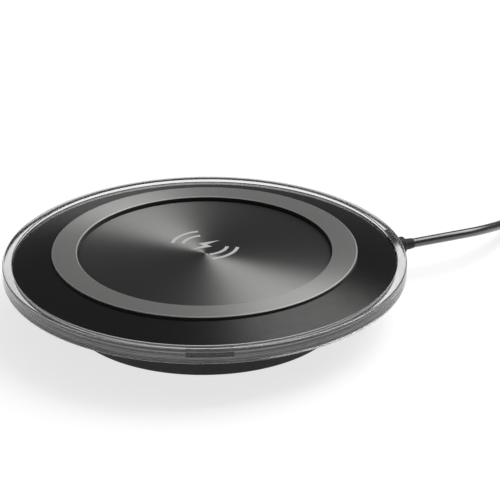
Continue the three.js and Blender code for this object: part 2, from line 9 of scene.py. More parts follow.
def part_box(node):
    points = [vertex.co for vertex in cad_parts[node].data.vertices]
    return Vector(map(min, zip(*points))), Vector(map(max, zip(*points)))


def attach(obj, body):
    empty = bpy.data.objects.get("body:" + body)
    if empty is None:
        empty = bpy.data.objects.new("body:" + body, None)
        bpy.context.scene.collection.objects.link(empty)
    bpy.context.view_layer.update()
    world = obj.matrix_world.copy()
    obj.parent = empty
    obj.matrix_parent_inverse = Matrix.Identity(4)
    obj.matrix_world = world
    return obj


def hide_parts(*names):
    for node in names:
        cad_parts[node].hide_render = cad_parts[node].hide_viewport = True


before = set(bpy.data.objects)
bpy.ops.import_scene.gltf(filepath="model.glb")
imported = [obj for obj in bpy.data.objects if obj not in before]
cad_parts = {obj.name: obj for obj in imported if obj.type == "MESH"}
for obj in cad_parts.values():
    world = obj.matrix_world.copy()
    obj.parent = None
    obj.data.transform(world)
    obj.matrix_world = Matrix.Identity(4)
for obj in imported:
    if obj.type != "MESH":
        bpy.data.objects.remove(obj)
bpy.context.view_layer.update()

# ---- Sizes -------------------------------------------------------------------------------------

MM = 0.001

# Taken from the frame
RIM_LOW, RIM_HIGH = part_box("clear_rim")
COVER_LOW, COVER_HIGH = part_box("top_cover")
RING_LOW, RING_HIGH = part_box("grip_ring")
PLATE_LOW, PLATE_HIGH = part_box("centre_plate")
SHELL_LOW, SHELL_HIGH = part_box("base_shell")
FOOT_LOW, FOOT_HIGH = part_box("foot_ring")
WINDOW_LOW, WINDOW_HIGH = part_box("indicator_window")
BOARD_LOW, BOARD_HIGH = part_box("circuit_board")
RELIEF_LOW, RELIEF_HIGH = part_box("strain_relief")

# Gaps between pieces
SEAT_GAP = 0.15 * MM
LAYER_GAP = 0.1 * MM
PART_GAP = 0.3 * MM
OVERRUN = 1.0 * MM  # a cutting shape runs this far past the faces it opens

# Rim and cover
RIM_WIDTH = 2.35 * MM
RIM_TOP_ROUND = 0.5 * MM
RIM_FOOT_ROUND = 0.7 * MM
RIM_INNER_ROUND = 0.2 * MM
CLEAR_LINE = (13.25 * MM, 13.05 * MM)  # a clear line round the lining of the rim's inner face
LINING_REACH = 0.05 * MM  # faces this near the rim's inner wall belong to it
EDGE_DROP = 0.6 * MM  # from the rim's top down to the cover's edge
COVER_EDGE = RIM_HIGH.z - EDGE_DROP
COVER_EDGE_ROUND = 0.25 * MM
EDGE_TURN = 70  # degrees that the cover's edge turns before its dome starts
DOME_CROWN = 0.08 * MM
DOME_STEPS = 12
SEAT_LEVEL = RING_LOW.z - LAYER_GAP
COVER_WALL = 1.4 * MM
COVER_UNDERSIDE = SEAT_LEVEL - COVER_WALL
SKIRT_BOTTOM = SHELL_HIGH.z + SEAT_GAP

# Grip ring, plate and mark
RING_WIDTH = 6.35 * MM
RING_ROUND = 0.45 * MM
HIGHLIGHT_BAND = (RING_ROUND / 16, RING_ROUND / 2)  # painted highlight lines along the upper edges start and end this far below its top
PLATE_BEVEL = 0.2 * MM
MARK_THICKNESS = 0.03 * MM
MARK_CENTRE = Vector((0.0, 4.6 * MM, 0.0))
MARK_ANGLE = radians(-43)
BOLT_HEIGHT = 9.0 * MM
BOLT_CORNERS = ((0.16, 1.0), (-0.42, -0.12), (-0.02, -0.12))  # of one end, in parts of half its height
ARC_RADII = (5.6 * MM, 8.2 * MM)
ARC_WIDTH = 0.9 * MM
ARC_HALF_ANGLE = radians(34)
ARC_STEPS = 16

# Housing
FOOT_RADIUS = 34.4 * MM
FOOT_ROUND = 0.4 * MM
SHELL_WALL = 2.0 * MM
FLOOR_THICKNESS = 1.8 * MM
FLOOR_TOP = SHELL_LOW.z + FLOOR_THICKNESS
FLANGE_BOTTOM = RIM_LOW.z
FLANGE_ROUND = 0.15 * MM
GROOVE_LEVEL = FOOT_HIGH.z + LAYER_GAP
FOOT_RING_WIDTH = 5.0 * MM
FOOT_RING_ROUND = 0.2 * MM
ROOT_DEPTH = FLOOR_THICKNESS / 4  # posts start this far inside the floor that they stand on

# Screw bosses and posts
SCREW_CIRCLE = FOOT_HIGH.x - FOOT_RING_WIDTH / 2
BOSS_RADIUS = 3.2 * MM
COVER_BOSS_BOTTOM = COVER_LOW.z
BOSS_TOP = COVER_BOSS_BOTTOM - PART_GAP
SHANK_HOLE = 1.25 * MM
HEAD_HOLE = 2.1 * MM
HEAD_HEIGHT = 1.2 * MM
HEAD_SEAT = GROOVE_LEVEL + HEAD_HEIGHT + 2 * PART_GAP
POST_RADIUS = 2.2 * MM
POST_HOLE = 1.15 * MM
BOARD_SCREW_CIRCLE = 22.4 * MM
CLAMP_PLACE = 27.8 * MM
CLAMP_SPREAD = 4.3 * MM
SADDLE_LENGTH = 4.2 * MM
CASE_SCREWS = 4
BOARD_SCREWS = 3

# Lead
CORD_AZIMUTH = radians(22.9)
CORD_RADIUS = 1.2 * MM
CORD_LEVEL = (RELIEF_LOW.z + RELIEF_HIGH.z) / 2
SLEEVE_START = FOOT_RADIUS + PART_GAP
SLEEVE_REACH = 5 * MM  # past the rim
SLEEVE_END = RIM_HIGH.x + SLEEVE_REACH
NOSE_LENGTH = 2.4 * MM
CORD_EXIT = SLEEVE_END + NOSE_LENGTH
SLEEVE_RADIUS = 2.2 * MM
SLEEVE_ROUND = 0.6 * MM
NECK_RADIUS = 1.9 * MM
NOSE_RADIUS = 1.5 * MM
NOSE_LIP = 0.12 * MM
NOSE_BEVEL = (0.2 * MM, 0.08 * MM)  # along the lead and inwards
CLAMP_POST_TOP = CORD_LEVEL + CORD_RADIUS + PART_GAP - LAYER_GAP
GRIP_FLANGE_RADIUS = 3.0 * MM
GRIP_FLANGE_THICKNESS = 1.2 * MM
GRIP_FLANGE_GAP = 0.5 * MM  # between the flat flange and the round wall
GRIP_FLANGE_END = FOOT_RADIUS - SHELL_WALL - GRIP_FLANGE_GAP

# Coil of the spare lead and its tie
COIL_CENTRE = Vector((103.4 * MM, 62.0 * MM, 0.0))
COIL_OUTER = 20.4 * MM
COIL_INNER = 9.0 * MM
COIL_LEVELS = (1.8 * MM, 4.2 * MM)
COIL_STEPS = 20  # points in each turn
CORD_BEVEL_STEPS = 4  # a quarter of the way round the jacket
CORD_STEPS = 5  # along the curve from one point to the next
COIL_CLIMB = 0.5  # turns that the lead takes to rise to the upper layer
TIE_AZIMUTH = radians(-50)
TIE_WIDTH = 6.0 * MM
TIE_THICKNESS = 0.5 * MM
TIE_ROUND = 1.5 * MM
TIE_BEVEL = 0.12 * MM
TIE_BOTTOM = 0.5 * MM

# Plug, in its own frame: X runs from the lead's end to the connector
PLUG_PLACE = Matrix.Translation((123.8 * MM, 21.5 * MM, 3.9 * MM)) @ Matrix.Rotation(-pi / 2, 4, "Z")
PLUG_SIZE = Vector((24 * MM, 15.6 * MM, 7.8 * MM))
PLUG_ROUND = 1.8 * MM
PLUG_SEGMENTS = 6
NECK_LENGTH = 7.0 * MM
NECK_TIP = 1.5 * MM
NECK_ROOT = 2.8 * MM
NECK_RIBS = 5
RIB_DEPTH = 0.3 * MM
RIB_SHAPE = (0.55, 0.6, 0.95)  # parts of the pitch where the rib ends and the groove starts and ends
CONNECTOR_START = PLUG_SIZE.x + PART_GAP
CONNECTOR_SIZE = Vector((12 * MM, 12 * MM, 4.5 * MM))
CONNECTOR_WALL = 0.3 * MM
CONNECTOR_ROUND = 0.6 * MM
LATCH_START = 4.5 * MM
LATCH_SIZE = Vector((2.3 * MM, 2.2 * MM, 9.0 * MM))
LATCH_SPACING = 5.8 * MM

# Smoothness
TURN_STEPS = 240
SMALL_STEPS = 48
ROUND_STEPS = 6
CORNER_STEPS = 5
SMALL_ROUND_STEPS = 4
TINY_ROUND_STEPS = 3
SHARP_ANGLE = radians(32)
WELD = 1e-6  # points this near each other are joined

# The lead from the pad to its coil, and from the coil to the plug
EXIT_WAY = Vector((cos(CORD_AZIMUTH), sin(CORD_AZIMUTH), 0.0))
EXIT_POINT = EXIT_WAY * CORD_EXIT + Vector((0.0, 0.0, CORD_LEVEL))
STRAIGHT = 6 * MM  # the lead runs straight out of the nose for this far
LEAD_ROUTE = [EXIT_POINT, EXIT_POINT + EXIT_WAY * STRAIGHT] + [
    Vector(place) * MM
    for place in (
        (64.4, 27.4, 8.4),
        (70.4, 31.7, 7.6),
        (75.6, 37.6, 6.2),
        (79.6, 44.8, 4.1),
        (82.0, 51.5, 1.9),
    )
]
TAIL_ROUTE = [
    Vector(place) * MM
    for place in (
        (123.8, 50.8, 3.5),
        (123.9, 45.5, 2.8),
        (123.9, 40.0, 2.6),
        (123.8, 34.0, 3.2),
        (123.8, 28.8, 3.9),
    )
]

# Patterns
PATTERN_LOW, PATTERN_HIGH = 0.3, 0.7  # nearly all of a noise pattern lies between these
COARSE_DETAIL = 2.0  # octaves of a noise pattern
DETAIL = 3.0
FINE_DETAIL = 4.0
ACROSS = 0.25  # a quarter turn, from along the circles of a spun face to across them

# Camera
CAMERA_PLACE = Vector((0.0112, -0.5999, 0.2992))
CAMERA_TILT = radians(64.82)
CAMERA_ROLL = radians(-0.16)
CAMERA_LENS = 193.2
CAMERA_NEAR = 0.01

# Light: a dim room and one broad softbox up to the right
ROOM_LIGHT = 0.12  # of the white that the camera sees behind the pad
KEY_WAY = Vector((0.49, 0.28, 0.82))
KEY_DISTANCE = 1.4
KEY_TARGET = Vector((0.0, 0.0, 0.01))
KEY_SIZE = 1.1
KEY_POWER = 17
FLOOR_RADIUS = 0.5
FLOOR_STEPS = 96
FLOOR_GREY = (0.4, 0.4, 0.4, 1.0)
FLOOR_GLOW = 0.74
WHITE = (1.0, 1.0, 1.0, 1.0)

# ---- Making meshes -----------------------------------------------------------------------------


def arc(r, z, radius, start, end, steps=ROUND_STEPS):
    """Points of an arc in an (r, z) outline, its angles in degrees."""
    turns = [radians(start + (end - start) * i / steps) for i in range(steps + 1)]
    return [(r + radius * cos(turn), z + radius * sin(turn)) for turn in turns]


def add_turned(shape, outline, closed=False, steps=TURN_STEPS, centre=Vector((0, 0, 0))):
    """Spins an (r, z) outline round a vertical axis. An open outline starts and ends on the axis."""
    points = [shape.verts.new(centre + Vector((r, 0.0, z))) for r, z in outline]
    pairs = list(zip(points, points[1:]))
    if closed:
        pairs.append((points[-1], points[0]))
    edges = [shape.edges.new(pair) for pair in pairs]
    bmesh.ops.spin(
        shape, geom=points + edges, cent=centre, axis=(0, 0, 1), angle=2 * pi,
        steps=steps, use_merge=True,
    )


def make_piece(name, shape, material):
    """Turns a bmesh into a smooth-shaded object that rides on the pad."""
    bmesh.ops.remove_doubles(shape, verts=shape.verts, dist=WELD)
    bmesh.ops.recalc_face_normals(shape, faces=shape.faces)
    mesh = bpy.data.meshes.new(name)
    shape.to_mesh(mesh)
    shape.free()
    mesh.shade_smooth()
    mesh.set_sharp_from_angle(angle=SHARP_ANGLE)
    mesh.materials.append(material)
    piece = bpy.data.objects.new(name, mesh)
    bpy.context.scene.collection.objects.link(piece)
    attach(piece, "root")
    return piece


def turned_piece(name, outline, material, closed=False):
    """A piece spun from an (r, z) outline."""
    shape = bmesh.new()
    add_turned(shape, outline, closed)
    return make_piece(name, shape, material)


def add_post(shape, radius, bottom, top, place):
    """A solid round post at an (x, y) place."""
    outline = [(0, bottom), (radius, bottom), (radius, top), (0, top)]
    add_turned(shape, outline, steps=SMALL_STEPS, centre=Vector((*place, 0)))


def add_block(shape, low, size):
    """A box given by its lowest corner and its size."""
    made = bmesh.ops.create_cube(shape, size=1.0)
    bmesh.ops.scale(shape, vec=size, verts=made["verts"])
    bmesh.ops.translate(shape, vec=low + size / 2, verts=made["verts"])
    return made["verts"]


def add_sleeve(shape, rings):
    """A tube along X through rings given as (x, outline), closed from the last to the first."""
    rows = [[shape.verts.new((x, *point)) for point in outline] for x, outline in rings]
    for row, following in zip(rows, rows[1:] + rows[:1]):
        for i in range(len(row)):
            shape.faces.new((row[i - 1], row[i], following[i], following[i - 1]))


def rounded_box(low, high, radius):
    """Outline of a rounded rectangle between its low and high corners."""
    right, top = high[0] - radius, high[1] - radius
    left, bottom = low[0] + radius, low[1] + radius
    corners = ((right, top, 0), (left, top, 90), (left, bottom, 180), (right, bottom, 270))
    return [
        point
        for r, z, start in corners
        for point in arc(r, z, radius, start, start + 90, CORNER_STEPS)
    ]


def reshape(piece, operation, shape):
    """Joins a shape to a piece, or cuts it out of the piece."""
    bmesh.ops.remove_doubles(shape, verts=shape.verts, dist=WELD)
    bmesh.ops.recalc_face_normals(shape, faces=shape.faces)
    tool_mesh = bpy.data.meshes.new("tool")
    shape.to_mesh(tool_mesh)
    shape.free()
    tool = bpy.data.objects.new("tool", tool_mesh)
    bpy.context.scene.collection.objects.link(tool)
    modifier = piece.modifiers.new("tool", "BOOLEAN")
    modifier.operation = operation
    modifier.solver = "EXACT"
    modifier.object = tool
    bpy.context.view_layer.update()
    graph = bpy.context.evaluated_depsgraph_get()
    result = bpy.data.meshes.new_from_object(piece.evaluated_get(graph))
    piece.modifiers.clear()
    old, piece.data = piece.data, result
    bpy.data.meshes.remove(old)
    result.name = piece.name
    bpy.data.objects.remove(tool)
    bpy.data.meshes.remove(tool_mesh)
    result.shade_smooth()
    result.set_sharp_from_angle(angle=SHARP_ANGLE)


def around_pad(count, radius):
    """Evenly spaced (x, y) places, the first half a step past the lead."""
    turns = [CORD_AZIMUTH + (i + 0.5) * 2 * pi / count for i in range(count)]
    return [(radius * cos(turn), radius * sin(turn)) for turn in turns]


# ---- Making materials --------------------------------------------------------------------------


class Finish:
    """A material with its shader, and short ways to make the patterns that feed it."""

    def __init__(self, name, **sockets):
        self.material = bpy.data.materials.new(name)
        self.material.use_nodes = True
        self.nodes = self.material.node_tree.nodes
        self.shader = self.nodes["Principled BSDF"]
        for socket, value in sockets.items():
            self.shader.inputs[socket.replace("_", " ")].default_value = value
        self.place = self.node("ShaderNodeMapping")
        self.link(self.node("ShaderNodeTexCoord").outputs["Object"], self.place.inputs["Vector"])

    def node(self, kind, **settings):
        made = self.nodes.new(kind)
        for setting, value in settings.items():
            setattr(made, setting, value)
        return made

    def link(self, source, target):
        self.material.node_tree.links.new(source, target)

    def noise(self, size, detail=DETAIL, roughness=0.55):
        """A cloudy pattern whose blotches are about this size across."""
        made = self.node("ShaderNodeTexNoise")
        made.inputs["Scale"].default_value = 1 / size
        made.inputs["Detail"].default_value = detail
        made.inputs["Roughness"].default_value = roughness
        self.link(self.place.outputs["Vector"], made.inputs["Vector"])
        return made.outputs["Fac"]

    def lines(self, distance, size, detail=COARSE_DETAIL):
        """An uneven pattern that changes with one distance only."""
        made = self.node("ShaderNodeTexNoise", noise_dimensions="1D")
        made.inputs["Scale"].default_value = 1 / size
        made.inputs["Detail"].default_value = detail
        self.link(distance, made.inputs["W"])
        return made.outputs["Fac"]

    def rings(self, size, detail=COARSE_DETAIL):
        """Uneven circles round the vertical axis, as a lathe leaves them."""
        flat = self.node("ShaderNodeVectorMath", operation="MULTIPLY")
        flat.inputs[1].default_value = (1, 1, 0)
        self.link(self.place.outputs["Vector"], flat.inputs[0])
        radius = self.node("ShaderNodeVectorMath", operation="LENGTH")
        self.link(flat.outputs["Vector"], radius.inputs[0])
        return self.lines(radius.outputs["Value"], size, detail)

    def levels(self, size):
        """Uneven level lines, as on a turned wall."""
        split = self.node("ShaderNodeSeparateXYZ")
        self.link(self.place.outputs["Vector"], split.inputs[0])
        return self.lines(split.outputs["Z"], size)

    def between(self, pattern, low, high):
        """A pattern's middle range stretched from low to high."""
        made = self.node("ShaderNodeMapRange")
        made.inputs["From Min"].default_value = PATTERN_LOW
        made.inputs["From Max"].default_value = PATTERN_HIGH
        made.inputs["To Min"].default_value = low
        made.inputs["To Max"].default_value = high
        self.link(pattern, made.inputs["Value"])
        return made.outputs["Result"]

    def colour(self, pattern, low, high, start=PATTERN_LOW, end=PATTERN_HIGH):
        """Base colour from low to high as the pattern goes from start to end."""
        ramp = self.node("ShaderNodeValToRGB")
        ramp.color_ramp.elements[0].position = start
        ramp.color_ramp.elements[1].position = end
        ramp.color_ramp.elements[0].color = (*low, 1)
        ramp.color_ramp.elements[1].color = (*high, 1)
        self.link(pattern, ramp.inputs["Fac"])
        self.link(ramp.outputs["Color"], self.shader.inputs["Base Color"])

    def roughness(self, pattern, low, high):
        self.link(self.between(pattern, low, high), self.shader.inputs["Roughness"])

    def bump(self, pattern, depth):
        made = self.node("ShaderNodeBump")
        made.inputs["Strength"].default_value = 1.0
        made.inputs["Distance"].default_value = depth
        self.link(pattern, made.inputs["Height"])
        self.link(made.outputs["Normal"], self.shader.inputs["Normal"])

    def spun(self, amount):
        """Gloss stretched across the circles of a spun face."""
        self.shader.inputs["Anisotropic"].default_value = amount
        self.shader.inputs["Anisotropic Rotation"].default_value = ACROSS
        tangent = self.node("ShaderNodeTangent", direction_type="RADIAL", axis="Z")
        self.link(tangent.outputs["Tangent"], self.shader.inputs["Tangent"])


def grey(value):
    """A grey a little to the warm side."""
    return (value, value, value * 0.985)


def clear_acrylic():
    """Clear plastic with the faint lines of turning."""
    finish = Finish("clear acrylic", Transmission_Weight=1.0, IOR=1.49)
    finish.colour(finish.noise(9 * MM), (0.87, 0.88, 0.88), (0.92, 0.925, 0.925))
    finish.roughness(finish.noise(1.2 * MM), 0.10, 0.16)
    finish.bump(finish.levels(0.25 * MM), 0.004 * MM)
    return finish.material


def rim_lining_and_painted_reflections():
    """A dark lining on the rim's inner face, with bands of mid grey at uneven heights seen through the
    clear rim; the mid-grey bands are painted reflections, standing in for the bright lines that
    refraction in the rim draws.
    """
    finish = Finish("dark rim lining with painted reflection bands", Specular_IOR_Level=0.5)
    finish.colour(finish.levels(0.32 * MM), grey(0.03), grey(0.42), 0.35, 0.68)
    finish.roughness(finish.noise(2 * MM), 0.25, 0.35)
    return finish.material


def gloss_black():
    """A dark base whose gloss is drawn out into a streak, under a hard clear coat."""
    finish = Finish("gloss black", Coat_Weight=0.8, Coat_Roughness=0.03, Metallic=1.0)
    finish.shader.inputs["Specular Tint"].default_value = (0.3, 0.3, 0.3, 1)
    finish.colour(finish.noise(3 * MM), grey(0.068), grey(0.076))
    finish.roughness(finish.noise(2 * MM), 0.42, 0.47)
    finish.spun(0.95)
    finish.bump(finish.noise(6 * MM, detail=1.0), 0.002 * MM)
    return finish.material


def spun_plate():
    """Dark metal with the fine circles of spinning."""
    finish = Finish("spun dark plate", Metallic=1.0)
    finish.colour(finish.rings(0.35 * MM), grey(0.225), grey(0.245))
    finish.roughness(finish.rings(0.2 * MM), 0.46, 0.5)
    finish.spun(0.86)
    finish.bump(finish.rings(0.12 * MM), 0.001 * MM)
    return finish.material


def printed_mark():
    """A thin layer of light ink."""
    finish = Finish("printed light grey", Specular_IOR_Level=0.4)
    finish.colour(finish.noise(0.3 * MM), grey(0.62), grey(0.72))
    finish.roughness(finish.noise(0.5 * MM), 0.45, 0.6)
    return finish.material


def grip_ring_finish():
    """A satin coat with a fine speckle and a faint spun streak."""
    finish = Finish("satin grip ring", Metallic=0.5, Coat_Weight=0.6, Coat_Roughness=0.16)
    speckle = finish.noise(0.16 * MM, COARSE_DETAIL)
    finish.colour(speckle, grey(0.3), grey(0.39))
    finish.roughness(speckle, 0.5, 0.58)
    finish.spun(0.9)
    finish.bump(speckle, 0.006 * MM)
    return finish.material


def painted_edge_highlight():
    """Painted highlight: a narrow edge coloured bright to stand in for the glint of light along it."""
    finish = Finish("painted edge highlight", Metallic=0.25)
    finish.colour(finish.rings(0.1 * MM), grey(0.38), grey(0.48))
    finish.roughness(finish.noise(0.5 * MM), 0.42, 0.5)
    return finish.material


def smoked_window():
    """Near-black gloss plastic."""
    finish = Finish("smoked window", Specular_IOR_Level=0.1)
    finish.colour(finish.noise(1.5 * MM), grey(0.004), grey(0.009))
    finish.roughness(finish.noise(0.8 * MM), 0.12, 0.2)
    return finish.material


def matte_black():
    """Black plastic with a fine moulded grain."""
    finish = Finish("matte black plastic", Specular_IOR_Level=0.4)
    grain = finish.noise(0.22 * MM, FINE_DETAIL)
    finish.colour(grain, grey(0.006), grey(0.010))
    finish.roughness(finish.noise(3 * MM), 0.48, 0.6)
    finish.bump(grain, 0.02 * MM)
    return finish.material


def soft_rubber(name, low, high, rough):
    """Rubber with a fine grain."""
    finish = Finish(name, Specular_IOR_Level=0.35, Sheen_Weight=0.15, Sheen_Roughness=0.5)
    grain = finish.noise(0.3 * MM)
    finish.colour(grain, grey(low), grey(high))
    finish.roughness(finish.noise(2.4 * MM), rough - 0.06, rough + 0.06)
    finish.bump(grain, 0.015 * MM)
    return finish.material


def cord_jacket():
    """The soft skin of a lead, with a broad sheen."""
    gloss = {"Specular_IOR_Level": 0.9, "Coat_Weight": 0.9, "Coat_Roughness": 0.26}
    finish = Finish("soft black jacket", **gloss)
    finish.colour(finish.noise(4 * MM), grey(0.012), grey(0.019))
    finish.roughness(finish.noise(1.5 * MM), 0.25, 0.32)
    finish.bump(finish.noise(0.5 * MM), 0.006 * MM)
    return finish.material


def woven_tape():
    """Matted fibres."""
    finish = Finish("hook-and-loop tape", Sheen_Weight=0.6, Sheen_Roughness=0.4)
    fibres = finish.noise(0.25 * MM, detail=5.0, roughness=0.7)
    finish.colour(fibres, grey(0.008), grey(0.035))
    finish.roughness(fibres, 0.75, 0.95)
    finish.bump(fibres, 0.12 * MM)
    return finish.material


def plated_metal(name, low, high, rough):
    """Thin plating, a little cloudy."""
    finish = Finish(name, Metallic=1.0)
    clouds = finish.noise(0.4 * MM, FINE_DETAIL)
    finish.colour(clouds, low, high)
    finish.roughness(finish.noise(1.2 * MM), rough - 0.05, rough + 0.08)
    finish.bump(clouds, 0.004 * MM)
    return finish.material


def moulded(name, low, high, rough):
    """A moulded or pressed part with a fine grain."""
    finish = Finish(name)
    clouds = finish.noise(0.3 * MM, FINE_DETAIL)
    finish.colour(clouds, low, high)
    finish.roughness(finish.noise(1.2 * MM), rough - 0.06, rough + 0.06)
    finish.bump(clouds, 0.01 * MM)
    return finish.material


def wound_copper():
    """Fine copper turns round the middle of the coil."""
    finish = Finish("enamelled copper", Metallic=1.0, Coat_Weight=0.4, Coat_Roughness=0.15)
    turns = finish.rings(0.5 * MM, detail=0.0)
    finish.colour(turns, (0.30, 0.11, 0.045), (0.72, 0.33, 0.16))
    finish.roughness(finish.noise(0.6 * MM), 0.25, 0.4)
    finish.bump(turns, 0.12 * MM)
    return finish.material


def solder_mask():
    """Green lacquer over faint tracks."""
    finish = Finish("green solder mask", Coat_Weight=0.5, Coat_Roughness=0.12)
    tracks = finish.node("ShaderNodeTexBrick")
    tracks.inputs["Scale"].default_value = 1 / (9 * MM)
    tracks.inputs["Mortar Size"].default_value = 0.03
    tracks.inputs["Color1"].default_value = (0.3, 0.3, 0.3, 1)
    tracks.inputs["Color2"].default_value = (0.45, 0.45, 0.45, 1)
    tracks.inputs["Mortar"].default_value = (0.8, 0.8, 0.8, 1)
    finish.link(finish.place.outputs["Vector"], tracks.inputs["Vector"])
    finish.colour(tracks.outputs["Color"], (0.004, 0.045, 0.016), (0.016, 0.12, 0.045))
    finish.roughness(finish.noise(1.0 * MM), 0.3, 0.42)
    finish.bump(tracks.outputs["Color"], 0.03 * MM)
    return finish.material


# ---- Camera, floor and light -------------------------------------------------------------------


def set_camera():
    """A long lens, looking down at the pad from the front."""
    camera = bpy.data.objects.new("camera", bpy.data.cameras.new("camera"))
    camera.data.lens = CAMERA_LENS
    camera.data.clip_start = CAMERA_NEAR
    turn = Matrix.Rotation(CAMERA_TILT, 4, "X") @ Matrix.Rotation(CAMERA_ROLL, 4, "Z")
    camera.matrix_world = Matrix.Translation(CAMERA_PLACE) @ turn
    bpy.context.scene.collection.objects.link(camera)
    bpy.context.scene.camera = camera


def lay_floor():
    """A pale disc that glows a little, so that it looks white."""
    shape = bmesh.new()
    bmesh.ops.create_circle(shape, cap_ends=True, segments=FLOOR_STEPS, radius=FLOOR_RADIUS)
    mesh = bpy.data.meshes.new("floor")
    shape.to_mesh(mesh)
    shape.free()
    finish = Finish("pale floor", Specular_IOR_Level=0.0, Roughness=1.0)
    finish.shader.inputs["Base Color"].default_value = FLOOR_GREY
    finish.shader.inputs["Emission Color"].default_value = WHITE
    finish.shader.inputs["Emission Strength"].default_value = FLOOR_GLOW
    mesh.materials.append(finish.material)
    floor = bpy.data.objects.new("floor", mesh)
    bpy.context.scene.collection.objects.link(floor)


def add_softbox():
    """One broad light, aimed at the pad."""
    light = bpy.data.lights.new("side softbox", "AREA")
    light.shape = "SQUARE"
    light.size = KEY_SIZE
    light.energy = KEY_POWER
    lamp = bpy.data.objects.new("side softbox", light)
    lamp.location = KEY_WAY * KEY_DISTANCE
    lamp.rotation_euler = (KEY_TARGET - lamp.location).to_track_quat("-Z", "Y").to_euler()
    bpy.context.scene.collection.objects.link(lamp)


def light_the_scene():
    """A room that lights the pad dimly but is seen as white, and the softbox."""
    world = bpy.data.worlds.new("studio")
    world.use_nodes = True
    nodes = world.node_tree.nodes
    links = world.node_tree.links
    seen = nodes.new("ShaderNodeLightPath")
    strength = nodes.new("ShaderNodeMapRange")
    strength.inputs["To Min"].default_value = ROOM_LIGHT
    strength.inputs["To Max"].default_value = 1.0
    links.new(seen.outputs["Is Camera Ray"], strength.inputs["Value"])
    links.new(strength.outputs["Result"], nodes["Background"].inputs["Strength"])
    nodes["Background"].inputs["Color"].default_value = WHITE
    bpy.context.scene.world = world
    bpy.context.scene.view_settings.view_transform = "Standard"
    add_softbox()


# ---- The lead ----------------------------------------------------------------------------------


def eased(route):
    """The route with a point added halfway along each smooth stretch, by the four-point rule."""
    ends = [2 * route[0] - route[1], *route, 2 * route[-1] - route[-2]]
    points = []
    for before, start, end, after in zip(ends, ends[1:], ends[2:], ends[3:]):
        points += [start, (start + end) * 9 / 16 - (before + after) / 16]
    return points + [route[-1]]


def coil_points():
    """Clockwise turns, inwards on the lower layer and outwards on the upper."""
    pitch = 2 * CORD_RADIUS
    turns_in = (COIL_OUTER - COIL_INNER) / pitch
    count = round(2 * turns_in * COIL_STEPS)
    points = []
    for i in range(count + 1):
        turn = 2 * turns_in * i / count
        radius = COIL_INNER + pitch * abs(turns_in - turn)
        rise = min(1, max(0, (turn - turns_in + COIL_CLIMB / 2) / COIL_CLIMB))
        level = COIL_LEVELS[0] + (COIL_LEVELS[1] - COIL_LEVELS[0]) * rise
        angle = pi - 2 * pi * turn
        points.append(COIL_CENTRE + Vector((radius * cos(angle), radius * sin(angle), level)))
    return points


def lay_cord(material):
    """The lead as one smooth curve from the nose, through its coil, to the plug."""
    points = eased(LEAD_ROUTE) + coil_points() + eased(TAIL_ROUTE)
    curve = bpy.data.curves.new("lead", "CURVE")
    curve.dimensions = "3D"
    curve.bevel_depth = CORD_RADIUS
    curve.bevel_resolution = CORD_BEVEL_STEPS
    curve.resolution_u = CORD_STEPS
    curve.use_fill_caps = True
    spline = curve.splines.new("BEZIER")
    spline.bezier_points.add(len(points) - 1)
    for knot, point in zip(spline.bezier_points, points):
        knot.co = point
        knot.handle_left_type = "AUTO"
        knot.handle_right_type = "AUTO"
    curve.materials.append(material)
    cord = bpy.data.objects.new("lead", curve)
    bpy.context.scene.collection.objects.link(cord)
    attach(cord, "root")
    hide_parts("lead_run", "lead_coil", "lead_tail")
    return cord


def along_lead(shape, verts):
    """Lays what stands on the Z axis along the line on which the lead leaves the pad."""
    turn = Matrix.Rotation(CORD_AZIMUTH, 4, "Z") @ Matrix.Rotation(pi / 2, 4, "Y")
    bmesh.ops.transform(shape, matrix=Matrix.Translation((0, 0, CORD_LEVEL)) @ turn, verts=verts)


def strain_relief(material):
    """Flange and neck inside the foot, a sleeve under the rim and a tapered nose."""
    flange_start = GRIP_FLANGE_END - GRIP_FLANGE_THICKNESS
    nose_tip = CORD_RADIUS + NOSE_LIP
    outline = [
        (0, flange_start),
        (GRIP_FLANGE_RADIUS, flange_start),
        (GRIP_FLANGE_RADIUS, GRIP_FLANGE_END),
        (NECK_RADIUS, GRIP_FLANGE_END),
        (NECK_RADIUS, SLEEVE_START),
        (SLEEVE_RADIUS, SLEEVE_START),
        *arc(SLEEVE_RADIUS - SLEEVE_ROUND, SLEEVE_END - SLEEVE_ROUND, SLEEVE_ROUND, 0, 90),
        (NOSE_RADIUS, SLEEVE_END),
        (nose_tip, CORD_EXIT - NOSE_BEVEL[0]),
        (nose_tip - NOSE_BEVEL[1], CORD_EXIT),
        (0, CORD_EXIT),
    ]
    shape = bmesh.new()
    add_turned(shape, outline, steps=SMALL_STEPS)
    along_lead(shape, shape.verts)
    piece = make_piece("strain_relief_sleeve", shape, material)
    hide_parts("strain_relief")
    return piece


# ---- The pad's outside -------------------------------------------------------------------------


CLEAR, LINED_WITH_PAINTED_BANDS, SMOKED = 0, 1, 2  # the rim's materials; the lining carries painted reflection bands
PAINTED_HIGHLIGHT, PAINTED_SHADE = 1, 2  # the grip ring's materials after its satin top: a painted highlight along its upper edges, and painted shade on its sides and underside
PRINTED = 1  # the centre plate's second material


def lining_of(spot):
    """Which material this spot on the rim's inner face has."""
    if CLEAR_LINE[1] < spot.z < CLEAR_LINE[0]:
        return CLEAR
    across = WINDOW_LOW.x < spot.x < WINDOW_HIGH.x and spot.y < 0
    return SMOKED if across and WINDOW_LOW.z < spot.z < WINDOW_HIGH.z else LINED_WITH_PAINTED_BANDS


